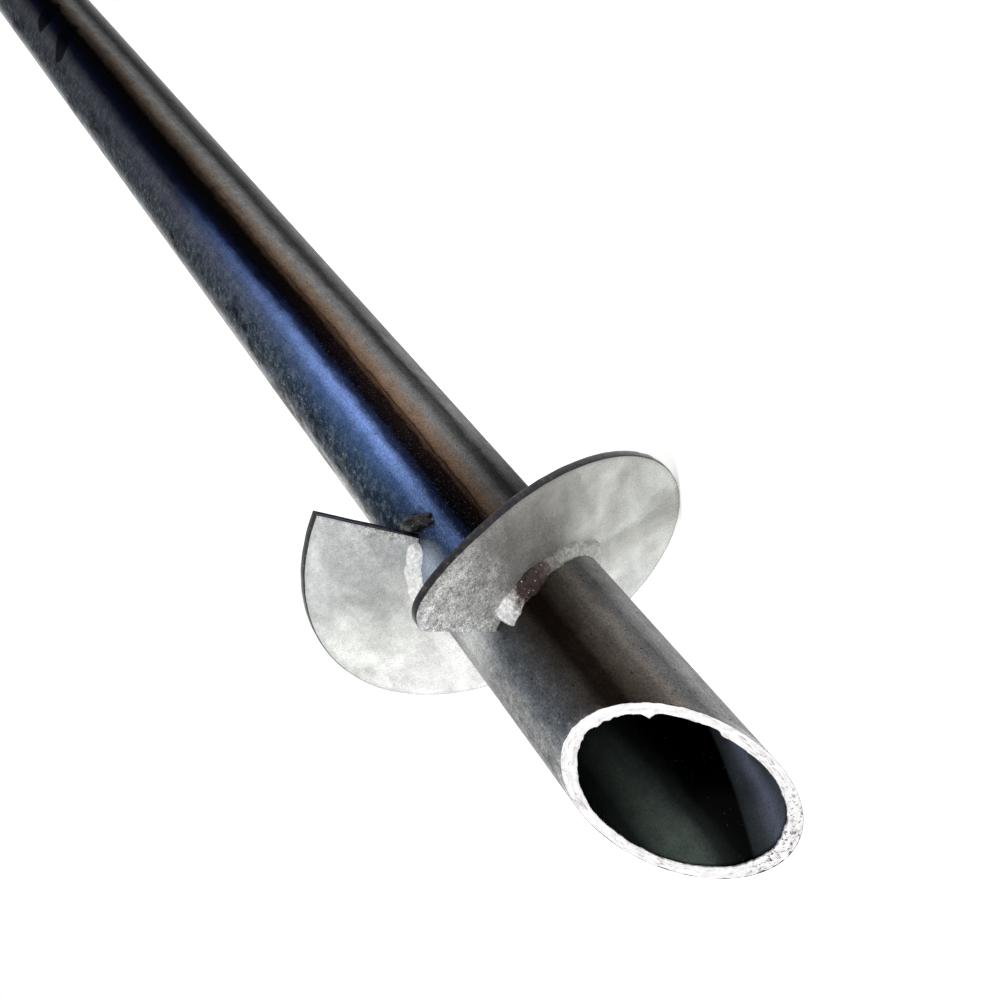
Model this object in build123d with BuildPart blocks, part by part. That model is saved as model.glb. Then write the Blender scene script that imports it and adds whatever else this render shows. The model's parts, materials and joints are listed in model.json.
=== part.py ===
from build123d import *
from math import atan, cos, degrees, radians, sin
import os

# Foundation ground screw: a steel tube cut to a slanting point, with one turn of
# helix plate welded round it near the point, to be turned into the ground.
#
# It is modelled lying as it comes to rest, on the rim of its helix plate and on
# the rim of its head end. The origin is the centre of the head end, on the axis
# of the tube. +X runs along the ground towards the point, and +Z is up.
#
# Lengths "along" the shaft run from the head end. Angles "round" the shaft start
# at the point of the bevel and turn right-handed about the direction of the point.

# Shaft tube
shaft_length = 1600.0  # head end to the point of the bevel
shaft_diameter = 76.1
shaft_wall = 4.5
bevel_angle = 44.0  # slant of the cut, from square across the tube
drive_hole_diameter = 22.0  # crosses both walls, for the pin that turns the screw
drive_hole_along = 50.0

# Helix plate
plate_diameter = 185.0
plate_thickness = 4.0
plate_sweep = 356.0  # almost a full turn: the rest is the slit it was pulled open at
rim_pitch = 88.5
hub_pitch = 71.5  # the rim is pulled further open than the hub
hub_lean = 2.7  # how far the middle of the hub sits nearer the point than the rim's
leading_edge_to_point = 129.5  # at the rim
leading_edge_round = 176.0
leading_corner_radius = 13.0
bore_clearance = 0.4  # between the plate's hole and the tube, closed by the welds

# Welds
weld_leg = 7.0
weld_bulge = 0.8  # how far the face of a bead stands out from flat
weld_setback = 2.0  # how far the beads stop short of the plate's two ends

cut_margin = 3.0  # how far a cutting shape runs past what it cuts

# How the screw lies
point_roll = -49.0  # turn of the point about the axis, from straight down

shaft_radius = shaft_diameter / 2
bore_radius = shaft_radius - shaft_wall
plate_radius = plate_diameter / 2
hole_radius = shaft_radius + bore_clearance
rim_rise = rim_pitch * plate_sweep / 360
hub_rise = hub_pitch * plate_sweep / 360
trailing_edge_round = leading_edge_round - plate_sweep
plate_middle = shaft_length - leading_edge_to_point - rim_rise / 2
rim_start = plate_middle - rim_rise / 2
hub_start = plate_middle + hub_lean - hub_rise / 2

# The lowest place of the plate's rim, straight below the axis, sets the tilt
down_round = -point_roll
rim_touch = rim_start + rim_pitch * ((down_round - trailing_edge_round) % 360) / 360
rim_touch -= plate_thickness / 2
tilt = atan((plate_radius - shaft_radius) / rim_touch)

along = Vector(cos(tilt), 0, sin(tilt))
down = Vector(sin(tilt), 0, -cos(tilt))
across = Vector(0, 1, 0)


def station(distance, round_from_point=0.0):
    """Plane across the shaft, its x axis pointing out at that angle round it."""
    turn = radians(round_from_point + point_roll)
    outward = down * cos(turn) + across * sin(turn)
    return Plane(origin=along * distance, x_dir=outward, z_dir=along)


def helix(radius, height, setback):
    """Helix that keeps its place on the plate, that far above its middle, and stops short of its ends."""
    share = (radius - hole_radius) / (plate_radius - hole_radius)
    pitch = hub_pitch + (rim_pitch - hub_pitch) * share
    start = hub_start + (rim_start - hub_start) * share + height
    turn = Edge.make_helix(pitch, pitch * (plate_sweep - 2 * setback) / 360, radius)
    return station(start + pitch * setback / 360, trailing_edge_round + setback).location * turn


head = station(0)
point = station(shaft_length)
tip_cut = Plane(
    origin=point.origin + point.x_dir * shaft_radius,
    x_dir=point.y_dir,
    z_dir=point.z_dir * cos(radians(bevel_angle)) - point.x_dir * sin(radians(bevel_angle)),
)

with BuildPart() as shaft_tube:
    with BuildSketch(head):
        Circle(shaft_radius)
        Circle(bore_radius, mode=Mode.SUBTRACT)
    extrude(amount=shaft_length)
    split(bisect_by=tip_cut, keep=Keep.BOTTOM)
    drive_hole = Plane(
        origin=station(drive_hole_along).origin, x_dir=along, z_dir=station(0).x_dir
    )
    with BuildSketch(drive_hole):
        Circle(drive_hole_diameter / 2)
    extrude(amount=shaft_diameter, both=True, mode=Mode.SUBTRACT)
shaft_tube.part.label = "shaft_tube"


def coil(corners, setback=0.0):
    """Solid that winds with the plate: its section's corners are (radius, height on the plate)."""
    edges = [helix(*corner, setback) for corner in corners]
    faces = [Face.make_surface_from_curves(a, b) for a, b in zip(edges, edges[1:] + edges[:1])]
    for end in (0, 1):
        faces.append(Face(Wire.make_polygon([edge @ end for edge in edges], close=True)))
    return Solid(Shell(faces))


half = plate_thickness / 2
with BuildPart() as helix_plate:
    section = [(hole_radius, -half), (plate_radius, -half), (plate_radius, half), (hole_radius, half)]
    add(coil(section))
    # The outer corner of the leading edge is cut round, so that it slips into the ground
    corner_plane = station(rim_start + rim_rise, leading_edge_round)
    to_corner = plate_radius - leading_corner_radius
    corner_centre = Vector((to_corner**2 - leading_corner_radius**2) ** 0.5, -leading_corner_radius)
    on_rim = corner_centre * (plate_radius / to_corner)
    with BuildSketch(corner_plane):
        with BuildLine():
            Polyline(
                corner_centre,
                (corner_centre.X, cut_margin),
                (plate_radius + cut_margin, cut_margin),
                on_rim + corner_centre.normalized() * cut_margin,
                close=True,
            )
        make_face()
        with Locations(corner_centre):
            Circle(leading_corner_radius, mode=Mode.SUBTRACT)
    extrude(amount=rim_pitch / 3, both=True, mode=Mode.SUBTRACT)
helix_plate.part.label = "helix_plate"


def bead(side):
    """Fillet bead along one face of the plate; side is 1 on the face towards the point."""
    mid_leg = weld_leg / 2 + weld_bulge
    section = [
        (shaft_radius, side * half),
        (shaft_radius + weld_leg, side * half),
        (shaft_radius + mid_leg, side * (half + mid_leg)),
        (shaft_radius, side * (half + weld_leg)),
    ]
    return coil(section, degrees(weld_setback / shaft_radius))


with BuildPart() as head_side_weld:
    add(bead(-1))
head_side_weld.part.label = "head_side_weld"

with BuildPart() as tip_side_weld:
    add(bead(1))
tip_side_weld.part.label = "tip_side_weld"

os.makedirs("parts", exist_ok=True)
for sub_part in (shaft_tube, helix_plate, head_side_weld, tip_side_weld):
    export_step(sub_part.part, f"parts/{sub_part.part.label}.step")
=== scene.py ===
import json
import math

import bmesh
import bpy
import numpy as np
from mathutils import Matrix, Vector, noise


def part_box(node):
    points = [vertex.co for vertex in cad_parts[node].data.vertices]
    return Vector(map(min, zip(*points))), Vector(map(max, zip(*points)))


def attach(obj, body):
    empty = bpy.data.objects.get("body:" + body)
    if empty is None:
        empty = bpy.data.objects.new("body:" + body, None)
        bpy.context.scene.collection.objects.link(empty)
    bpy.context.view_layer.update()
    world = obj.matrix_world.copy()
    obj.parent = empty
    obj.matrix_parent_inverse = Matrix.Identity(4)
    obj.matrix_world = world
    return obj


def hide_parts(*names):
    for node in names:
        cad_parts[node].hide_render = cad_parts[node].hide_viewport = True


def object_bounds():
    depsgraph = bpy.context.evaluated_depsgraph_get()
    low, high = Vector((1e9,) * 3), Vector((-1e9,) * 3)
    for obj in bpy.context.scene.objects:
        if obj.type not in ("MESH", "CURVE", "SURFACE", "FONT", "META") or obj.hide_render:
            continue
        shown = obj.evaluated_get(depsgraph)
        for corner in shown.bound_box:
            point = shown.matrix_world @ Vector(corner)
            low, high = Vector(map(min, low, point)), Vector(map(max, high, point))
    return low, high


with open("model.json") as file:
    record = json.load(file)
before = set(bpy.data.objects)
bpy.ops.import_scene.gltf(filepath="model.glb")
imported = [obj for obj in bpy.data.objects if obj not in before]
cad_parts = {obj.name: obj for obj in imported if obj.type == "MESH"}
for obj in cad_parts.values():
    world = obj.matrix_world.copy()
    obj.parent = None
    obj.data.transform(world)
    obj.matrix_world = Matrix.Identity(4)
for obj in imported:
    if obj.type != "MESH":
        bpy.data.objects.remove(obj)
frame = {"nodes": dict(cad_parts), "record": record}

CAD_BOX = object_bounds()

# Foundation ground screw, in metres. Everything is placed in the screw's own axes, which
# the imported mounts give: "along" runs down the tube from the head end to the point,
# "keel" points out from the axis to the point of the bevel, and "side" completes the set.
# "turn" is the angle round the tube from the keel, in radians.
MOUNTS = {mount["name"]: mount for mount in frame["record"]["mounts"]}
HEAD = Vector(MOUNTS["head_socket"]["pos_m"])
ALONG = -Vector(MOUNTS["head_socket"]["axis"]).normalized()
KEEL = -Vector(MOUNTS["drive_pin_hole"]["axis"]).normalized()
SIDE = ALONG.cross(KEEL)
PILE = Matrix((KEEL, SIDE, ALONG)).transposed().to_4x4()
PILE.translation = HEAD

TUBE_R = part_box("shaft_tube")[1].y
BORE_R = MOUNTS["head_socket"]["dims"]["r_mm"] / 1000
PIN_R = MOUNTS["drive_pin_hole"]["dims"]["r_mm"] / 1000
PIN_ALONG = (Vector(MOUNTS["drive_pin_hole"]["pos_m"]) - HEAD).dot(ALONG)


def node_points(node):
    """A CAD node's vertices as rows of (keel, side, along)."""
    mesh = frame["nodes"][node].data
    flat = np.empty(len(mesh.vertices) * 3)
    mesh.vertices.foreach_get("co", flat)
    return (flat.reshape(-1, 3) - np.array(HEAD)) @ np.array([KEEL, SIDE, ALONG]).T


LENGTH = float(node_points("shaft_tube")[:, 2].max())
PLATE_R = float(np.hypot(*node_points("helix_plate")[:, :2].T).max())

# The helix plate's own sizes, as its solid has them
BEVEL = math.tan(math.radians(44))  # slope of the cut across the tube
PLATE_THICK = 0.004
PLATE_SWEEP = math.radians(356)
LEADING_TURN = math.radians(176)
TRAILING_TURN = LEADING_TURN - PLATE_SWEEP
RIM_PITCH = 0.0885
HUB_PITCH = 0.0715
HUB_LEAN = 0.0027
LEADING_TO_POINT = 0.1295
CORNER_R = 0.013
HOLE_R = TUBE_R + 0.0004
WELD_LEG = 0.007
WELD_SETBACK = 0.002 / TUBE_R
PLATE_MIDDLE = LENGTH - LEADING_TO_POINT - RIM_PITCH * PLATE_SWEEP / math.tau / 2


# ---------------------------------------------------------------- mesh helpers


def lumps(points, scale, seed=0.0, octaves=3):
    """Smooth noise, about -1 to 1, at rows of points in metres; scale is its grain in metres."""
    shift = Vector((seed * 7.3, seed * 3.1, seed * 5.7))
    return np.array(
        [noise.fractal(Vector(p) / scale + shift, 1.0, 2.0, octaves) for p in points.reshape(-1, 3)]
    ).reshape(points.shape[:-1])


def polar(radius, turn, along):
    """Arrays of radius, turn and distance along, as rows of (keel, side, along)."""
    radius, turn, along = np.broadcast_arrays(radius, turn, along)
    return np.stack([radius * np.cos(turn), radius * np.sin(turn), along], -1)


def to_row(points):
    """Rows of (keel, side, along) as points of the row."""
    axes = np.array([KEEL, SIDE, ALONG])
    return points.reshape(-1, 3) @ axes + np.array(HEAD)


def grid_faces(rows, columns, wrap_rows=False, wrap_columns=False):
    """Quads of a grid of vertices, which may close on itself either way."""
    faces = []
    for i in range(rows if wrap_rows else rows - 1):
        for j in range(columns if wrap_columns else columns - 1):
            k, m = (i + 1) % rows, (j + 1) % columns
            faces.append((i * columns + j, i * columns + m, k * columns + m, k * columns + j))
    return faces


def add_mesh(name, points, faces, material):
    """A new piece, from rows of (keel, side, along)."""
    mesh = bpy.data.meshes.new(name)
    mesh.from_pydata(to_row(np.asarray(points)).tolist(), [], faces)
    mesh.update()
    mesh.materials.append(material)
    piece = bpy.data.objects.new(name, mesh)
    bpy.context.scene.collection.objects.link(piece)
    mesh.polygons.foreach_set("use_smooth", [True] * len(mesh.polygons))
    return piece


def face_outward(piece):
    """Turns every face of a closed piece outward."""
    shape = bmesh.new()
    shape.from_mesh(piece.data)
    bmesh.ops.recalc_face_normals(shape, faces=shape.faces)
    shape.to_mesh(piece.data)
    shape.free()


# ---------------------------------------------------------------- materials


def new_material(name, metallic, specular):
    """A material and its node tree's helper, with plain values set on the shader itself."""
    material = bpy.data.materials.new(name)
    material.use_nodes = True
    nodes = Nodes(material.node_tree)
    nodes.shader.inputs["Metallic"].default_value = metallic
    nodes.shader.inputs["Specular IOR Level"].default_value = specular
    return material, nodes


class Nodes:
    """Short ways to add and link the nodes that the materials use."""

    def __init__(self, tree):
        self.tree = tree
        self.shader = tree.nodes["Principled BSDF"]

    def add(self, kind, **values):
        """A new node; each value goes to the input of that name, or else to the node's own setting."""
        node = self.tree.nodes.new("ShaderNode" + kind)
        for key, value in values.items():
            if key in node.inputs:
                self.feed(node.inputs[key], value)
            else:
                setattr(node, key, value)
        return node

    def feed(self, socket, value):
        """Links another node's output to a socket, or sets a plain value on it."""
        if isinstance(value, bpy.types.NodeSocket):
            self.tree.links.new(value, socket)
        else:
            socket.default_value = value

    def math(self, operation, a, b=0.0, clamp=False):
        node = self.add("Math", operation=operation, use_clamp=clamp)
        self.feed(node.inputs[0], a)
        self.feed(node.inputs[1], b)
        return node.outputs[0]

    def times(self, first, *others):
        """The product of several values."""
        for other in others:
            first = self.math("MULTIPLY", first, other)
        return first

    def sway(self, pattern, reach):
        """Noise as a swing about zero."""
        return self.times(self.math("SUBTRACT", pattern, 0.5), reach)

    def out_from_axis(self, keel, side):
        """Distance from the tube's axis."""
        squares = self.math("ADD", self.times(keel, keel), self.times(side, side))
        return self.math("SQRT", squares)

    def mix(self, factor, a, b, blend="MIX"):
        node = self.add("Mix", data_type="RGBA", blend_type=blend)
        self.feed(node.inputs[0], factor)
        self.feed(node.inputs[6], a)
        self.feed(node.inputs[7], b)
        return node.outputs[2]

    def ramp(self, value, stops):
        """Colours at places from 0 to 1; a stop's colour may be one grey."""
        node = self.add("ValToRGB")
        elements = node.color_ramp.elements
        while len(elements) < len(stops):
            elements.new(0.5)
        for element, (place, colour) in zip(elements, sorted(stops, key=lambda stop: stop[0])):
            element.position = place
            element.color = rgb(colour)
        self.feed(node.inputs[0], value)
        return node.outputs[0]

    def shade(self, colour, pattern, spread):
        """The colour made darker and brighter by up to that share, where noise runs low and high."""
        swing = self.add("MapRange", **{"Value": pattern, "From Min": 0.3, "From Max": 0.7})
        self.feed(swing.inputs["To Min"], self.math("SUBTRACT", 1.0, spread))
        self.feed(swing.inputs["To Max"], self.math("ADD", 1.0, spread))
        scaled = self.add("VectorMath", operation="SCALE")
        self.feed(scaled.inputs[0], colour)
        self.feed(scaled.inputs["Scale"], swing.outputs[0])
        return scaled.outputs[0]

    def noise(self, scale, detail=4.0, rough=0.55, vector=None, stretch=None, distortion=0.0):
        """Noise by place, its scale in grains per metre; stretch slows it along (x, y, z)."""
        if vector is None:
            vector = self.add("TexCoord").outputs["Object"]
        if stretch is not None:
            vector = self.add("Mapping", vector_type="POINT", Vector=vector, Scale=stretch).outputs[0]
        node = self.add("TexNoise", Vector=vector, Scale=scale, Detail=detail, Roughness=rough)
        node.inputs["Distortion"].default_value = distortion
        return node.outputs[0]

    def pile(self):
        """The screw's own coordinates: (keel, side, along), and the turn from 0 to 1."""
        place = self.add("TexCoord").outputs["Object"]
        shifted = self.add("VectorMath", operation="SUBTRACT")
        self.feed(shifted.inputs[0], place)
        shifted.inputs[1].default_value = HEAD
        parts = []
        for axis in (KEEL, SIDE, ALONG):
            dot = self.add("VectorMath", operation="DOT_PRODUCT")
            self.feed(dot.inputs[0], shifted.outputs[0])
            dot.inputs[1].default_value = axis
            parts.append(dot.outputs["Value"])
        turn = self.math("ARCTAN2", parts[1], parts[0])
        turn = self.math("FRACT", self.math("ADD", self.math("DIVIDE", turn, math.tau), 1.0))
        return parts, turn

    def around(self):
        """Arc round the tube, distance from its axis and distance along, as one vector in metres."""
        (keel, side, along), turn = self.pile()
        arc = self.times(turn, math.tau * TUBE_R)
        vector = self.add("CombineXYZ", X=arc, Y=self.out_from_axis(keel, side), Z=along)
        return vector.outputs[0]

    def near(self, turn, along, reach):
        """1 at a place on the tube, fading to 0 that far from it."""
        spot = HEAD + PILE.to_3x3() @ Vector((TUBE_R * math.cos(turn), TUBE_R * math.sin(turn), along))
        gap = self.add("VectorMath", operation="DISTANCE")
        self.feed(gap.inputs[0], self.add("TexCoord").outputs["Object"])
        gap.inputs[1].default_value = spot
        fade = self.add("MapRange", interpolation_type="SMOOTHSTEP", **{"From Min": 0.0, "From Max": reach})
        self.feed(fade.inputs["Value"], gap.outputs["Value"])
        fade.inputs["To Min"].default_value, fade.inputs["To Max"].default_value = 1.0, 0.0
        return fade.outputs[0]

    def bump(self, height, strength, distance, below=None):
        """Small relief, laid on top of another bump where one is given."""
        node = self.add("Bump", Strength=strength, Distance=distance, Height=height)
        if below is not None:
            self.feed(node.inputs["Normal"], below)
        return node.outputs[0]

    def use(self, **links):
        """Links the finished colour, roughness and normal to the shader."""
        names = {"colour": "Base Color", "rough": "Roughness", "normal": "Normal"}
        for key, value in links.items():
            self.feed(self.shader.inputs[names[key]], value)


def srgb(value):
    """One channel from 0 to 255, made linear."""
    value = value / 255
    return value / 12.92 if value <= 0.04045 else ((value + 0.055) / 1.055) ** 2.4


def rgb(colour):
    """A grey or a colour written from 0 to 255, as the linear colour that a shader takes."""
    if isinstance(colour, (int, float)):
        colour = (colour,) * 3
    return (*(srgb(channel) for channel in colour), 1.0)


def at_turn(stops):
    """Stops given by degrees of turn, as places round the tube from 0 to 1."""
    return [((degrees % 360) / 360, colour) for degrees, colour in stops]


def tube_material():
    """Oxide-dark tube steel: a blue temper tint stripe above the plate, brown and grey stripes beside it, and
    light and dark bands and bright edges painted by turn as painted reflections.
    """
    material, n = new_material("tube_steel", 0.5, 0.0)
    (_, _, along), turn = n.pile()
    wander = n.sway(n.noise(7, 3), 0.022)
    fray = n.sway(n.noise(240, 4, 0.7, stretch=(0.25, 1, 1)), 0.020)
    round_ = n.math("FRACT", n.math("ADD", turn, n.math("ADD", wander, fray)))
    # Stripes round the tube by turn, above the plate, below it and towards the point: blue and brown tint and
    # dark oxide, with painted reflections and painted highlights as light and dark bands and bright edges
    tempered_and_reflections = n.ramp(round_, at_turn([
        (60, 180), (71, 168), (81, 172), (90, 144), (97, 78), (104, 86), (112, 124),
        (122, (124, 106, 91)), (128, (98, 78, 63)), (129.4, (44, 33, 25)), (131, (76, 58, 45)),
        (133.4, (28, 20, 16)), (145, (14, 12, 15)), (151.5, (36, 48, 78)), (158, (120, 148, 212)),
        (163, (106, 134, 192)), (168, (70, 94, 140)), (173, (62, 84, 120)), (181, (52, 68, 92)),
        (196, (52, 62, 74)), (207, (98, 103, 112)), (214, 184), (222, 238), (300, 50),
    ]))
    plain = n.ramp(round_, at_turn([
        (60, 190), (72, 176), (82, 142), (92, 100), (100, 76), (107, 118), (114, 130), (121, (108, 101, 93)),
        (128, (68, 59, 53)), (135, (13, 10, 9)), (143, (10, 9, 15)), (149, (11, 13, 28)), (156, (20, 25, 42)),
        (163, (62, 64, 74)), (171, (84, 86, 94)), (184, (72, 76, 84)), (200, (74, 79, 87)),
        (210, (120, 124, 130)), (218, 190), (230, 220), (300, 50),
    ]))
    point = n.ramp(round_, at_turn([
        (60, 196), (71, 190), (81, 172), (90, 138), (97, 96), (104, 98), (111, (106, 101, 96)),
        (120, (75, 69, 64)), (130, (54, 48, 42)), (138, (25, 17, 14)), (148, (24, 19, 16)),
        (154, (46, 42, 38)), (166, (62, 61, 62)), (178, (70, 73, 78)), (189, (96, 99, 104)),
        (199, 140), (214, 160), (226, 190), (262, 90), (300, 48), (330, 90),
    ]))
    down_tube = n.math("DIVIDE", along, LENGTH)
    blue_here = n.ramp(down_tube, [(0.63, 0), (0.73, 170), (0.80, 255), (1.0, 255)])
    colour = n.mix(blue_here, plain, tempered_and_reflections)
    plate_here = PLATE_MIDDLE / LENGTH
    beyond = n.ramp(down_tube, [(plate_here + 0.004, 0), (plate_here + 0.010, 255)])
    # Painted shade darkens it towards the plate, and it turns plain beyond it
    colour = n.mix(1.0, colour, n.ramp(down_tube, [(0.835, 255), (0.875, 158)]), "MULTIPLY")
    colour = n.mix(beyond, colour, point)
    # Pale scale mottles the side away from the plate's leading edge; soot and pits speckle all of it
    mottled_side = n.ramp(round_, at_turn([(156, 0), (172, 130), (200, 255), (232, 200), (300, 60)]))
    colour = n.shade(colour, n.noise(240, 6, 0.8), n.times(mottled_side, 0.45))
    scale = n.ramp(n.noise(170, 7, 0.8), [(0.49, 0), (0.58, 255)])
    colour = n.mix(n.times(scale, mottled_side, 0.40), colour, rgb((138, 146, 148)))
    flake = n.ramp(n.noise(330, 4, 0.7), [(0.60, 0), (0.66, 255)])
    colour = n.mix(n.times(flake, mottled_side, 0.5), colour, rgb((168, 176, 170)))
    stain = n.ramp(n.noise(42, 5, 0.65, stretch=(0.5, 1, 1)), [(0.36, 255), (0.46, 0)])
    colour = n.mix(n.times(stain, mottled_side, 0.75), colour, rgb((14, 20, 26)))
    pit = n.ramp(n.noise(430, 2, 0.5), [(0.27, 255), (0.32, 0)])
    colour = n.mix(n.times(pit, 0.7), colour, rgb((12, 9, 7)))
    # Painted glints: blue-white specks on the blue stripe before the plate
    glint = n.ramp(n.noise(1100, 3, 0.6), [(0.58, 0), (0.68, 255)])
    glint_side = n.ramp(round_, at_turn([(100, 60), (150, 110), (156, 255), (164, 255), (174, 110), (240, 40)]))
    before_plate = n.math("SUBTRACT", blue_here, beyond, clamp=True)
    colour = n.mix(n.times(glint, glint_side, before_plate, 0.38), colour, rgb((168, 186, 232)))
    # Painted reflections: zinc light thrown on the tube beside the plate's two ends
    point_side = n.near(math.radians(204), PLATE_MIDDLE + 0.026, 0.028)
    head_side = n.near(math.radians(194), PLATE_MIDDLE - 0.017, 0.019)
    colour = n.mix(n.times(point_side, 0.75), colour, rgb((214, 216, 214)))
    colour = n.mix(n.times(head_side, 0.85), colour, rgb((188, 200, 218)))
    # Two dark runs that dripped round the tube
    runs = n.sway(n.noise(150, 4, 0.6), 0.8)
    for degrees, spot, reach in [
        (146, 0.640, 0.020), (155, 0.646, 0.016), (163, 0.652, 0.012),
        (146, 0.700, 0.018), (154, 0.706, 0.015), (162, 0.713, 0.014), (170, 0.720, 0.013),
    ]:
        runs = n.math("ADD", runs, n.near(math.radians(degrees), spot, reach))
    drip = n.ramp(runs, [(0.24, 0), (0.52, 235)])
    colour = n.mix(drip, colour, rgb((5, 7, 15)))
    colour = n.shade(colour, n.noise(1150, 3, 0.6), 0.40)
    colour = n.shade(colour, n.noise(120, 4, 0.6), 0.16)
    # Fine scratches run along the tube
    colour = n.shade(colour, n.noise(500, 3, 0.6, stretch=(0.02, 1, 1)), 0.10)
    rough = n.ramp(n.noise(60, 5), [(0.3, 92), (0.7, 140)])
    normal = n.bump(n.noise(1300, 4, 0.65), 0.35, 0.0002)
    normal = n.bump(n.noise(35, 3, 0.5), 0.10, 0.002, normal)
    n.use(colour=colour, rough=rough, normal=normal)
    n.shader.inputs["Specular Tint"].default_value = rgb(108)
    return material


def plate_material():
    """Frosted zinc coat with painted light and shade by turn and by radius and painted reflection streaks,
    rough and with painted sparkle where it was laid on thick at the leading corner.
    """
    material, n = new_material("plate_zinc", 0.25, 0.4)
    (keel, side, _), turn = n.pile()
    wander = n.sway(n.noise(30, 4, 0.6), 0.09)
    round_ = n.math("FRACT", n.math("ADD", turn, wander))
    # Painted light and shade round the plate: lighter and darker sectors by turn
    shade = n.ramp(round_, at_turn([
        (2, (224, 226, 222)), (16, (230, 232, 228)), (32, (212, 214, 208)), (42, (186, 188, 180)),
        (53, (164, 166, 158)), (60, (204, 206, 200)), (78, (196, 198, 192)), (90, (206, 206, 202)),
        (104, (178, 178, 172)), (116, (146, 145, 139)), (128, (130, 128, 123)), (144, (150, 149, 146)),
        (156, (196, 195, 192)), (170, (226, 226, 224)), (180, (226, 228, 228)), (196, (214, 217, 216)),
        (214, (214, 216, 213)), (240, (236, 238, 233)), (270, (248, 249, 246)), (310, (248, 249, 246)),
        (340, (228, 230, 226)),
    ]))
    # Painted shade by distance from the tube: darker at the hub, lightest near the rim, darker again at its
    # edge
    past_tube = n.math("SUBTRACT", n.out_from_axis(keel, side), TUBE_R)
    out = n.math("DIVIDE", past_tube, PLATE_R - TUBE_R)
    hub_shade = n.ramp(out, [(0.0, 222), (0.2, 238), (0.45, 240), (0.86, 250), (0.94, 255), (1.0, 214)])
    colour = n.mix(1.0, shade, hub_shade, "MULTIPLY")
    # Painted reflection streaks: broad soft bands lighten and darken the plate
    streak = n.noise(22, 4, 0.5, stretch=(0.35, 1.2, 2.6), distortion=0.7)
    colour = n.shade(colour, streak, 0.30)
    colour = n.shade(colour, n.noise(110, 5, 0.65), 0.10)
    # The thick zinc at the leading corner is rough: its light and dark specks are painted shade and painted
    # highlights of its granules, and its bright specks are painted sparkle
    grain = n.noise(1300, 4, 0.75)
    granular = n.ramp(round_, at_turn([(118, 70), (142, 120), (156, 230), (178, 255), (184, 130), (330, 96)]))
    colour = n.shade(colour, grain, n.times(granular, 0.55))
    clots = n.noise(320, 6, 0.8)
    colour = n.shade(colour, clots, n.times(granular, 0.95))
    sparkle_speck = n.ramp(n.noise(380, 5, 0.75), [(0.60, 0), (0.65, 255)])
    colour = n.mix(n.times(sparkle_speck, granular), colour, rgb(252))
    rough = n.ramp(grain, [(0.35, 110), (0.65, 170)])
    normal = n.bump(grain, 0.30, 0.0003)
    coarse = n.bump(n.noise(330, 5, 0.7), 0.45, 0.0012, normal)
    n.use(colour=colour, rough=rough, normal=coarse)
    return material


def rim_material():
    """Torch-cut edge of the plate, painted dark as painted shade, with paler mottled specks."""
    material, n = new_material("plate_rim", 0.2, 0.3)
    rim_mottle = n.noise(420, 5, 0.7)
    colour = n.ramp(rim_mottle, [
        (0.30, (8, 9, 14)), (0.50, (24, 25, 34)), (0.62, (52, 46, 44)), (0.76, (120, 112, 104)),
    ])
    n.use(colour=colour, rough=n.ramp(rim_mottle, [(0.3, 90), (0.7, 150)]), normal=n.bump(rim_mottle, 0.5, 0.0008))
    return material


def weld_material():
    """Lumpy weld metal under the zinc, burnt brown beside the bright end of the run; its greys are painted
    light and shade as on the plate, and the bright end is a painted highlight.
    """
    material, n = new_material("weld_metal", 0.4, 0.5)
    _, turn = n.pile()
    wander = n.sway(n.noise(210, 5, 0.75), 0.085)
    round_ = n.math("FRACT", n.math("ADD", turn, wander))
    # Colour round the run by turn: burnt brown from about 126 to 147 degrees, and elsewhere painted light and
    # shade, with a painted highlight at the bright end
    shade = n.ramp(round_, at_turn([
        (10, 222), (55, (196, 197, 192)), (78, (174, 175, 170)), (96, (178, 178, 174)),
        (108, (158, 157, 152)), (119, (126, 122, 118)), (126, (78, 60, 55)),
        (136, (44, 29, 27)), (147, (58, 40, 38)), (151, (170, 160, 156)), (155, 246), (172, 248),
        (180, 240), (196, 228), (230, 236), (300, 214),
    ]))
    grain = n.noise(560, 6, 0.75)
    colour = n.shade(shade, grain, 0.42)
    burnt = n.ramp(round_, at_turn([(100, 40), (120, 160), (130, 255), (176, 255), (196, 110), (330, 60)]))
    crack = n.ramp(n.noise(300, 4, 0.6, distortion=1.5), [(0.462, 0), (0.485, 255), (0.508, 0)])
    colour = n.mix(n.times(crack, burnt, 0.7), colour, rgb((46, 38, 38)))
    # Painted sparkle: bright specks over the burnt part
    sparkle_speck = n.ramp(n.noise(560, 3, 0.6), [(0.655, 0), (0.69, 255)])
    colour = n.mix(n.times(sparkle_speck, burnt), colour, rgb(252))
    n.use(colour=colour, rough=n.ramp(grain, [(0.3, 62), (0.7, 120)]), normal=n.bump(grain, 0.7, 0.0012))
    return material


def burnt_material():
    """Scaled and blackened metal of the first lump of the run, with bright specks as painted highlights."""
    material, n = new_material("burnt_weld", 0.3, 0.3)
    grain = n.noise(700, 5, 0.7)
    colour = n.ramp(grain, [
        (0.36, (3, 3, 5)), (0.54, (16, 16, 20)), (0.64, (52, 52, 62)), (0.72, (196, 200, 210)),
    ])
    n.use(colour=colour, rough=n.ramp(grain, [(0.3, 70), (0.7, 120)]), normal=n.bump(grain, 0.6, 0.0008))
    return material


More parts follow.
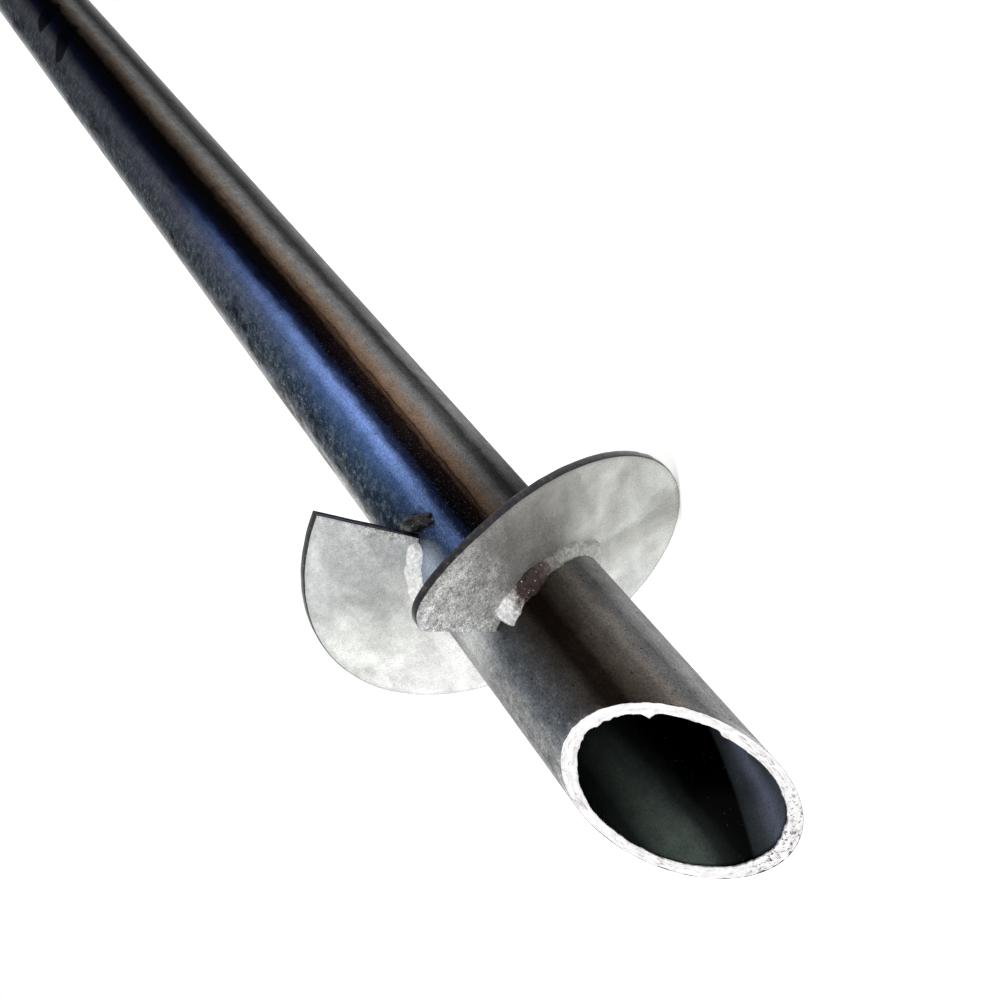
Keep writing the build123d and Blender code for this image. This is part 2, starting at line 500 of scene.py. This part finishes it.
def cut_material():
    """Freshly cut steel of the bevel: bright, with torn streaks round it and scorched pits."""
    material, n = new_material("cut_steel", 0.1, 0.5)
    _, turn = n.pile()
    round_tube = n.around()
    streak = n.noise(700, 5, 0.65, vector=round_tube, stretch=(0.22, 1, 0.3))
    colour = n.ramp(streak, [(0.30, (196, 188, 190)), (0.42, (238, 234, 234)), (0.55, 250), (0.75, 254)])
    tear = n.noise(420, 3, 0.55, vector=round_tube, stretch=(0.16, 1, 0.2))
    line = n.ramp(tear, [(0.478, 0), (0.492, 255), (0.506, 0)])
    lined = n.ramp(turn, at_turn([
        (30, 150), (60, 230), (110, 150), (125, 60), (170, 40), (186, 230), (226, 230), (240, 110),
        (285, 240), (310, 60), (345, 120),
    ]))
    colour = n.mix(n.times(line, lined), colour, rgb((66, 54, 56)))
    speck = n.ramp(n.noise(620, 5, 0.75), [(0.41, 255), (0.46, 0)])
    torn = n.ramp(turn, at_turn([
        (0, 255), (38, 220), (58, 60), (90, 20), (180, 10), (300, 20), (326, 140), (344, 255),
    ]))
    colour = n.mix(n.times(speck, torn), colour, rgb((58, 44, 42)))
    rough = n.ramp(streak, [(0.3, 90), (0.7, 150)])
    n.use(colour=colour, rough=rough, normal=n.bump(streak, 0.3, 0.0005))
    return material


def bore_material():
    """Inside of the tube: nearly black, painted shade over dark oxide, with painted reflections: a soft
    green-grey sheen and a cold one across from it.
    """
    material, n = new_material("bore_steel", 0.0, 0.03)
    (_, _, along), turn = n.pile()
    wander = n.sway(n.noise(26, 3), 0.04)
    round_ = n.math("FRACT", n.math("ADD", turn, wander))
    green = n.ramp(round_, at_turn([
        (20, 0), (200, (5, 7, 6)), (250, (20, 25, 22)), (274, (34, 42, 38)), (286, (66, 75, 70)),
        (299, (86, 96, 90)), (311, (74, 84, 79)), (322, (32, 38, 35)), (334, (4, 5, 5)), (345, 0),
    ]))
    # The cold sheen starts at a line that slants across the wall
    turns_per_metre = 2.36
    slant = n.times(n.math("SUBTRACT", along, LENGTH - 0.035), turns_per_metre)
    slanted = n.math("ADD", turn, slant)
    slanted = n.math("FRACT", n.math("ADD", slanted, 1.0))
    cold = n.ramp(slanted, at_turn([
        (0.5, 0), (3, (34, 38, 40)), (16, (50, 54, 60)), (32, (84, 90, 106)), (46, (58, 63, 70)),
        (80, (30, 35, 36)), (130, (8, 11, 10)), (190, 0), (300, 0),
    ]))
    colour = n.mix(1.0, green, cold, "ADD")
    # Painted shade: darker deeper inside the bore, away from its mouth
    mouth = n.ramp(n.math("DIVIDE", along, LENGTH), [(0.90, 30), (0.945, 200), (0.975, 255)])
    colour = n.mix(1.0, colour, mouth, "MULTIPLY")
    cloud = n.noise(60, 5, 0.6)
    colour = n.shade(colour, cloud, 0.30)
    colour = n.shade(colour, n.noise(1300, 3, 0.6), 0.30)
    # Painted glints: pale specks in the bore
    glint = n.ramp(n.noise(900, 2, 0.5), [(0.72, 0), (0.76, 255)])
    colour = n.mix(n.times(glint, 0.3), colour, rgb((120, 126, 130)))
    rough = n.ramp(cloud, [(0.3, 110), (0.7, 140)])
    n.use(colour=colour, rough=rough, normal=n.bump(n.noise(900, 4), 0.2, 0.0003))
    return material


# ---------------------------------------------------------------- the tube


def cut_height(keel):
    """How far along the tube the bevel cuts it, at that distance towards the keel."""
    return LENGTH - (TUBE_R - keel) * BEVEL


def make_tube(steel, cut, bore):
    """The tube, cut square at the head and slanting at the point, with a ragged burr."""
    columns = 256
    soft = 0.0004  # how far the wall's edges are eased at the head and the cut
    turn = np.arange(columns) * math.tau / columns
    steps = np.concatenate([np.linspace(0, 0.9, 90), np.linspace(0.9, 1, 30)[1:]])
    rings = []
    # Outer wall from the head to the cut, the cut face with its burr, and the bore back again
    outer_end = cut_height(TUBE_R * np.cos(turn)) - soft
    for step in steps:
        rings.append(polar(TUBE_R, turn, soft + (outer_end - soft) * step))
    wall_rings = len(rings)
    burr = ragged(turn)
    for share in np.linspace(0.06, 0.94, 7):
        radius = TUBE_R + (BORE_R - burr - TUBE_R) * share
        height = cut_height(radius * np.cos(turn)) - 0.00015
        rings.append(polar(radius, turn, height))
    cut_rings = len(rings)
    for share in (1.0, 0.98):
        radius = BORE_R - burr * share
        rings.append(polar(radius, turn, cut_height(radius * np.cos(turn)) - 0.0006 * (1 + share)))
    inner_end = cut_height(BORE_R * np.cos(turn)) - 0.0035
    for step in steps[::-1]:
        rings.append(polar(BORE_R, turn, soft + (inner_end - soft) * step))
    rings.append(polar(BORE_R + soft, turn, 0.0))
    rings.append(polar(TUBE_R - soft, turn, 0.0))
    points = np.array(rings)
    # The cut face is torn: shallow grooves and pits, never standing above the cut
    face = slice(wall_rings, cut_rings)
    torn = lumps(points[face], 0.0035, 2.0, 4)
    points[face, :, 2] -= 0.0006 * np.clip(0.4 + torn, 0, 1.5)
    faces = grid_faces(len(rings), columns, wrap_rows=True, wrap_columns=True)
    piece = add_mesh("tube", points, faces, steel)
    piece.data.materials.append(cut)
    piece.data.materials.append(bore)
    for i, polygon in enumerate(piece.data.polygons):
        ring = i // columns
        if wall_rings <= ring < cut_rings + 1:
            polygon.material_index = 1
        elif cut_rings < ring < len(rings) - 3:
            polygon.material_index = 2
    face_outward(piece)
    drill(piece)
    return piece


def ragged(turn):
    """How far the burr of the cut stands into the bore, round the tube, in metres."""
    ring = polar(0.5, turn, 0)
    fine = np.array([noise.noise(Vector(p) * 26) for p in ring])
    coarse = np.array([noise.noise(Vector(p) * 7 + Vector((3, 1, 4))) for p in ring])
    degrees = np.degrees(turn) % 360
    nib = 0.0022 * np.clip(1 - np.abs(degrees - 131) / 4, 0, 1)
    shelf = 0.0013 * np.clip((92 - degrees) / 2, 0, 1) * np.clip((degrees - 48) / 30, 0, 1)
    curl = 0.0011 * np.clip(1 - np.abs(degrees - 205) / 28, 0, 1) ** 0.5
    return 0.0002 + 0.0005 * np.clip(coarse + 0.2, 0, 1) + 0.0006 * np.clip(fine, 0, 1) + nib + shelf + curl


def drill(piece):
    """The drive hole through both walls at the head."""
    bpy.ops.mesh.primitive_cylinder_add(vertices=64, radius=PIN_R, depth=4 * TUBE_R)
    cutter = bpy.context.object
    cutter.matrix_world = (
        Matrix.Translation(HEAD + ALONG * PIN_ALONG) @ KEEL.to_track_quat("Z", "Y").to_matrix().to_4x4()
    )
    bpy.context.view_layer.update()
    modifier = piece.modifiers.new("drive_hole", "BOOLEAN")
    modifier.object = cutter
    modifier.operation = "DIFFERENCE"
    modifier.solver = "EXACT"
    bpy.context.view_layer.objects.active = piece
    bpy.ops.object.modifier_apply(modifier="drive_hole")
    bpy.data.objects.remove(cutter, do_unlink=True)


# ---------------------------------------------------------------- the helix plate


def plate_along(radius, turn):
    """Distance along of the plate's middle at that radius and turn."""
    out = (radius - HOLE_R) / (PLATE_R - HOLE_R)
    share = (turn - TRAILING_TURN) / PLATE_SWEEP - 0.5
    hub = PLATE_MIDDLE + HUB_LEAN + HUB_PITCH * PLATE_SWEEP / math.tau * share
    rim = PLATE_MIDDLE + RIM_PITCH * PLATE_SWEEP / math.tau * share
    return hub + (rim - hub) * out


def plate_outline():
    """Turns from the trailing edge to the leading one, and the plate's radius at each."""
    spread = 0.0035  # the leading corner is hammered out a little past the circle
    reach = PLATE_R + spread - CORNER_R
    middle = math.sqrt(reach**2 - CORNER_R**2)
    start = math.atan2(-CORNER_R, middle)
    plain = np.linspace(TRAILING_TURN, LEADING_TURN + start, 420)
    blend = np.clip((plain - LEADING_TURN - start) / 0.45 + 1, 0, 1)
    bend = np.linspace(start, math.pi / 2, 30)[1:]
    x = middle + CORNER_R * np.cos(bend)
    y = -CORNER_R + CORNER_R * np.sin(bend)
    turns = np.concatenate([plain, LEADING_TURN + np.arctan2(y, x)])
    radii = np.concatenate([PLATE_R + spread * blend**2 * (3 - 2 * blend), np.hypot(x, y)])
    return turns, radii


def make_plate(material, rim):
    """One turn of thick sheet with softened edges and a slightly wavy rim."""
    turns, radii = plate_outline()
    rim_noise = np.array([noise.noise(Vector((math.cos(t), math.sin(t), 0)) * 14) for t in turns])
    radii = radii - 0.0004 * (0.5 + 0.5 * rim_noise)
    half = PLATE_THICK / 2
    soft = 0.0005
    shares = np.linspace(0, 1, 44)
    sections = []
    for turn, radius in zip(turns, radii):
        flat = HOLE_R + (radius - soft - HOLE_R) * shares
        top = polar(flat, turn, plate_along(flat, turn) + half)
        below = polar(flat[::-1], turn, plate_along(flat[::-1], turn) - half)
        edge_r = np.array([radius - 0.3 * soft, radius, radius, radius - 0.3 * soft])
        edge_h = np.array([half - 0.3 * soft, half - soft, soft - half, 0.3 * soft - half])
        edge = polar(edge_r, turn, plate_along(edge_r, turn) + edge_h)
        sections.append(np.concatenate([top, edge, below]))
    points = np.array(sections)
    count = points.shape[1]
    # Shallow hammered unevenness, fading to nothing at the rim and the hub
    wave = lumps(points, 0.02, 5.0, 2)
    rows = np.hypot(points[..., 0], points[..., 1])
    fade = np.clip((PLATE_R - rows) / 0.01, 0, 1) * np.clip((rows - HOLE_R) / 0.01, 0, 1)
    points[..., 2] += 0.00035 * wave * fade
    faces = grid_faces(len(sections), count, wrap_columns=True)
    half_count = count // 2
    for row in (0, len(sections) - 1):
        base = row * count
        for i in range(half_count - 1):
            a, b = base + i, base + i + 1
            c, d = base + count - 2 - i, base + count - 1 - i
            faces.append((a, b, c, d))
    piece = add_mesh("plate", points, faces, material)
    piece.data.materials.append(rim)
    # The rim and both cut ends are painted dark, as painted shade
    rim_columns = range(len(shares) - 1, len(shares) + len(edge_r))
    ends = (len(sections) - 1) * count
    for i, polygon in enumerate(piece.data.polygons):
        if i >= ends or i % count in rim_columns:
            polygon.material_index = 1
    face_outward(piece)
    return piece


# ---------------------------------------------------------------- the welds


def make_bead(name, side, first, last, material, extra=None):
    """A lumpy fillet bead in the corner of tube and plate; side is 1 towards the point."""
    turns = np.linspace(first, last, 620)
    across = np.linspace(0, math.pi / 2, 17)
    place = np.stack([np.cos(turns), np.sin(turns), np.full_like(turns, side * 0.7)], -1) * TUBE_R
    wobble, jitter = lumps(place, 0.012, side * 3.0, 2), lumps(place, 0.0035, side * 4.0, 2)
    # It swells where the run was stopped, thins on the far side, and has round ends
    near_end = np.minimum(turns - first, last - turns) * TUBE_R
    swell = 1 + 0.22 * np.exp(-(((last - turns) * TUBE_R - 0.005) / 0.005) ** 2)
    swell += 0.14 * np.exp(-(((turns - math.radians(138)) / 0.22) ** 2)) * (side > 0)
    swell -= 0.24 * np.exp(-(((turns - math.radians(92)) / 0.45) ** 2)) * (side > 0)
    leg = WELD_LEG * (0.92 + 0.20 * wobble + 0.12 * jitter) * swell
    leg *= np.sqrt(np.clip(1 - (1 - np.clip(near_end / 0.004, 0, 1)) ** 2, 0.02, 1))
    angle, size = np.meshgrid(across, leg)
    chevron = np.sin(turns[:, None] * TUBE_R / 0.0034 * math.tau + 1.8 * np.sin(2 * angle))
    bulge = 1 + 0.05 * chevron * np.sin(2 * angle)
    sunk = 0.0004  # into the tube and the plate, so that no gap shows
    radius = TUBE_R - sunk + size * np.sin(angle) ** 1.3 * bulge
    height = PLATE_THICK / 2 - sunk + size * np.cos(angle) ** 1.3 * bulge
    turn = turns[:, None] + 0 * angle
    points = polar(radius, turn, plate_along(np.maximum(radius, HOLE_R), turn) + side * height)
    rough = 0.0009 * lumps(points, 0.0045, 8.0 + side, 4) * np.sin(2 * angle)
    points[..., :2] *= (1 + rough / radius)[..., None]
    points[..., 2] += side * rough
    # Closed behind, inside the tube's wall
    root = polar(TUBE_R - 0.0015, turns, plate_along(HOLE_R, turns)).reshape(len(turns), 1, 3)
    closed = np.concatenate([points, root], axis=1)
    count = len(across) + 1
    faces = grid_faces(len(turns), count, wrap_columns=True)
    faces.append(tuple(range(count)))
    faces.append(tuple((len(turns) - 1) * count + i for i in range(count)))
    closed = closed.reshape(-1, 3)
    if extra is not None:
        start = len(closed)
        closed = np.concatenate([closed, extra[0]])
        faces += [tuple(start + i for i in face) for face in extra[1]]
    piece = add_mesh(name, closed, faces, material)
    face_outward(piece)
    return piece


def make_knob(turn, along):
    """Ring of lumps of burnt metal on the tube where a run was started, with a crater in it."""
    around, up = 72, 24
    lon = np.arange(around) * math.tau / around
    lat = np.linspace(0.02, math.pi - 0.02, up)
    lon, lat = np.meshgrid(lon, lat)
    x, y, z = np.sin(lat) * np.cos(lon), np.sin(lat) * np.sin(lon), np.cos(lat)
    bumps = 1 + 0.20 * lumps(np.stack([x, y, z], -1), 0.5, 21.0, 3)
    bumps += 0.10 * np.cos(5 * lon + 1) * np.sin(lat)
    crater = 0.0034 * np.exp(-((np.hypot(x - 0.15, y) / 0.36) ** 2)) * (z > 0)
    out = 0.0052 * z * bumps - crater
    beside = (0.0056 * y - 0.0056 * x) * bumps
    points = polar(TUBE_R + out, turn + 0.0078 * x * bumps / TUBE_R, along + beside)
    faces = grid_faces(up, around, wrap_columns=True)
    faces += [tuple(range(around)), tuple((up - 1) * around + i for i in range(around))]
    return points.reshape(-1, 3), faces


# ---------------------------------------------------------------- camera and light


def place_camera():
    """The photographed view, close to the point and looking back up the tube."""
    data = bpy.data.cameras.new("camera")
    data.lens = 40.3
    data.sensor_width = 36
    data.clip_start = 0.01
    camera = bpy.data.objects.new("camera", data)
    bpy.context.scene.collection.objects.link(camera)
    spot = Vector((-0.3754, 0.2380, LENGTH + 0.1444))
    forward = Vector((0.6754, -0.3818, -0.6310)).normalized()
    up = Vector((-0.0936, 0.8043, -0.5869))
    right = forward.cross(up).normalized()
    up = right.cross(forward)
    pose = Matrix((right, up, -forward)).transposed().to_4x4()
    pose.translation = spot
    camera.matrix_world = PILE @ pose
    bpy.context.scene.camera = camera


def seen_directly(tree):
    """1 for rays from the camera and for reflected and transmitted ones, and 0 for light."""
    path = tree.nodes.new("ShaderNodeLightPath")
    seen = path.outputs["Is Camera Ray"]
    for other in ("Is Glossy Ray", "Is Transmission Ray"):
        either = tree.nodes.new("ShaderNodeMath")
        either.operation = "MAXIMUM"
        tree.links.new(seen, either.inputs[0])
        tree.links.new(path.outputs[other], either.inputs[1])
        seen = either.outputs[0]
    return seen


def make_world():
    """Even white light, and a white background to the camera and to reflections."""
    world = bpy.data.worlds.new("studio")
    bpy.context.scene.world = world
    world.use_nodes = True
    tree = world.node_tree
    light = tree.nodes["Background"]
    light.inputs["Color"].default_value = (1, 1, 1, 1)
    light.inputs["Strength"].default_value = 0.85
    white = tree.nodes.new("ShaderNodeBackground")
    white.inputs["Color"].default_value = (1, 1, 1, 1)
    mix = tree.nodes.new("ShaderNodeMixShader")
    tree.links.new(seen_directly(tree), mix.inputs[0])
    tree.links.new(light.outputs[0], mix.inputs[1])
    tree.links.new(white.outputs[0], mix.inputs[2])
    tree.links.new(mix.outputs[0], tree.nodes["World Output"].inputs[0])


def make_floor():
    """White floor that still takes the screw's shadow where it lies close."""
    bpy.ops.mesh.primitive_plane_add(size=60, location=(0.8, 0, CAD_BOX[0][2] - 0.0002))
    floor = bpy.context.object
    floor.name = "floor"
    material = bpy.data.materials.new("floor_white")
    material.use_nodes = True
    tree = material.node_tree
    shader = tree.nodes["Principled BSDF"]
    shader.inputs["Base Color"].default_value = (0.85, 0.85, 0.85, 1)
    shader.inputs["Roughness"].default_value = 0.9
    shader.inputs["Specular IOR Level"].default_value = 0.0
    # The camera and reflections see it lighter than it is, so that only close shadows show
    share = tree.nodes.new("ShaderNodeMath")
    share.operation = "MULTIPLY"
    share.inputs[1].default_value = 0.5
    glow = tree.nodes.new("ShaderNodeEmission")
    both = tree.nodes.new("ShaderNodeAddShader")
    tree.links.new(seen_directly(tree), share.inputs[0])
    tree.links.new(share.outputs[0], glow.inputs["Strength"])
    tree.links.new(shader.outputs[0], both.inputs[0])
    tree.links.new(glow.outputs[0], both.inputs[1])
    tree.links.new(both.outputs[0], tree.nodes["Material Output"].inputs[0])
    floor.data.materials.append(material)


def make_lamp(name, spot, aim, size, power):
    """A soft square lamp at a place, aimed at another."""
    data = bpy.data.lights.new(name, "AREA")
    data.size = size
    data.energy = power
    lamp = bpy.data.objects.new(name, data)
    bpy.context.scene.collection.objects.link(lamp)
    lamp.location = spot
    lamp.rotation_euler = (aim - spot).to_track_quat("-Z", "Y").to_euler()


bpy.context.scene.view_settings.view_transform = "Standard"
place_camera()
make_world()
make_floor()
MID = HEAD + ALONG * (LENGTH - 0.25)
make_lamp("key", MID + Vector((0.6, 0.9, 1.6)), MID, 1.2, 10)
make_lamp("fill", MID + Vector((0.3, -1.4, 1.2)), MID, 1.6, 8)

steel, zinc, weld = tube_material(), plate_material(), weld_material()
tube = make_tube(steel, cut_material(), bore_material())
plate = make_plate(zinc, rim_material())
bead_start = TRAILING_TURN + WELD_SETBACK
tip_bead = make_bead("tip_bead", 1, bead_start, LEADING_TURN - math.radians(8), weld)
knob = make_knob(math.radians(173), plate_along(HOLE_R, TRAILING_TURN) - 0.0050)
head_bead = make_bead("head_bead", -1, bead_start, LEADING_TURN - WELD_SETBACK, weld, knob)
head_bead.data.materials.append(burnt_material())
for polygon in head_bead.data.polygons:
    if min(polygon.vertices) >= len(head_bead.data.vertices) - len(knob[0]):
        polygon.material_index = 1
for piece, node, slot in (
    (tube, "shaft_tube", "tube_steel"),
    (plate, "helix_plate", "plate_zinc"),
    (tip_bead, "tip_side_weld", "weld_metal"),
    (head_bead, "head_side_weld", "weld_metal"),
):
    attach(piece, "root")
    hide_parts(node)
